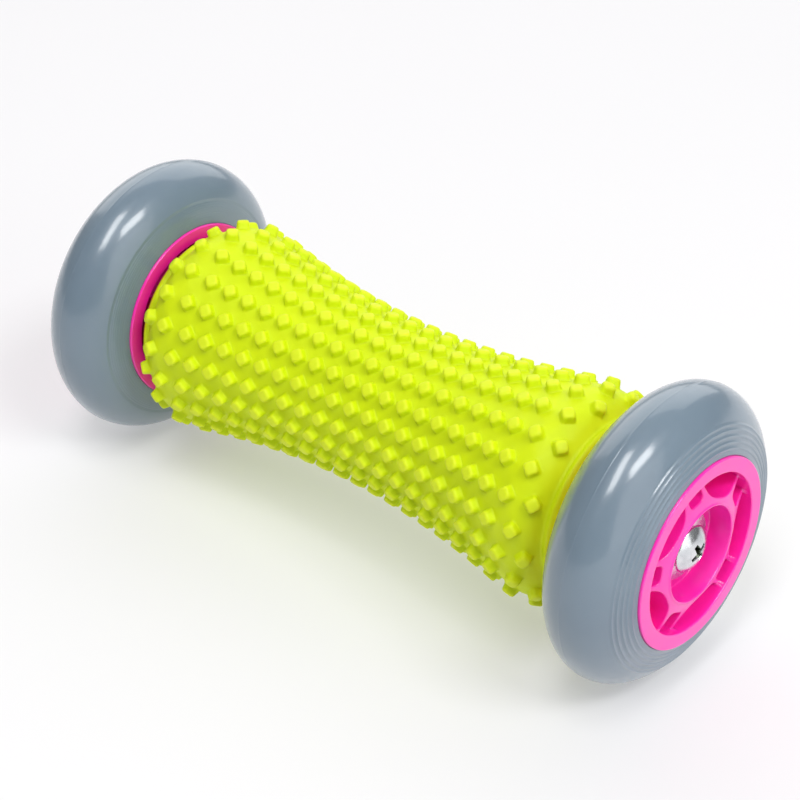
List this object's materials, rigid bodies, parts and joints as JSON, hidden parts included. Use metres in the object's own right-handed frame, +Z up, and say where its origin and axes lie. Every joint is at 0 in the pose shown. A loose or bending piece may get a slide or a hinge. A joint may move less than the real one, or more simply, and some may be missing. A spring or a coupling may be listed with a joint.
{
  "type": "foot massage roller",
  "caption": "Hourglass foot massage roller with a soft nubbed sleeve on a stiff core and a free-running wheel at each end.",
  "frame": {"origin": "on the floor, midway between the two wheels and under the axle", "axes": "+X along the axle towards the right wheel, +Z up"},
  "size_m": [0.1738, 0.07, 0.07],
  "materials": {
    "lime_rubber": "soft satin moulded rubber",
    "grey_urethane": "glossy cast urethane",
    "pink_plastic": "semi-gloss moulded plastic",
    "white_plastic": "matte moulded plastic",
    "nylon_bush": "satin nylon",
    "zinc_steel": "bright zinc plate",
    "brass_insert": "turned brass"
  },
  "bodies": {
    "roller_core": {"massage_sleeve": "lime_rubber", "core_tube": "white_plastic", "left_end_cap": "white_plastic", "left_insert_nut": "brass_insert", "left_axle_bush": "nylon_bush", "left_inner_washer": "zinc_steel", "left_outer_washer": "zinc_steel", "left_lock_washer": "zinc_steel", "left_axle_screw": "zinc_steel", "right_end_cap": "white_plastic", "right_insert_nut": "brass_insert", "right_axle_bush": "nylon_bush", "right_inner_washer": "zinc_steel", "right_outer_washer": "zinc_steel", "right_lock_washer": "zinc_steel", "right_axle_screw": "zinc_steel"},
    "left_wheel": {"left_hub": "pink_plastic", "left_tyre": "grey_urethane"},
    "right_wheel": {"right_hub": "pink_plastic", "right_tyre": "grey_urethane"}
  },
  "joints": [
    {"name": "left_wheel_spin", "type": "hinge", "parent": "roller_core", "child": "left_wheel", "pos_m": [-0.07525, 0, 0.035], "axis": [1, 0, 0], "continuous": true},
    {"name": "right_wheel_spin", "type": "hinge", "parent": "roller_core", "child": "right_wheel", "pos_m": [0.07525, 0, 0.035], "axis": [1, 0, 0], "continuous": true}
  ]
}
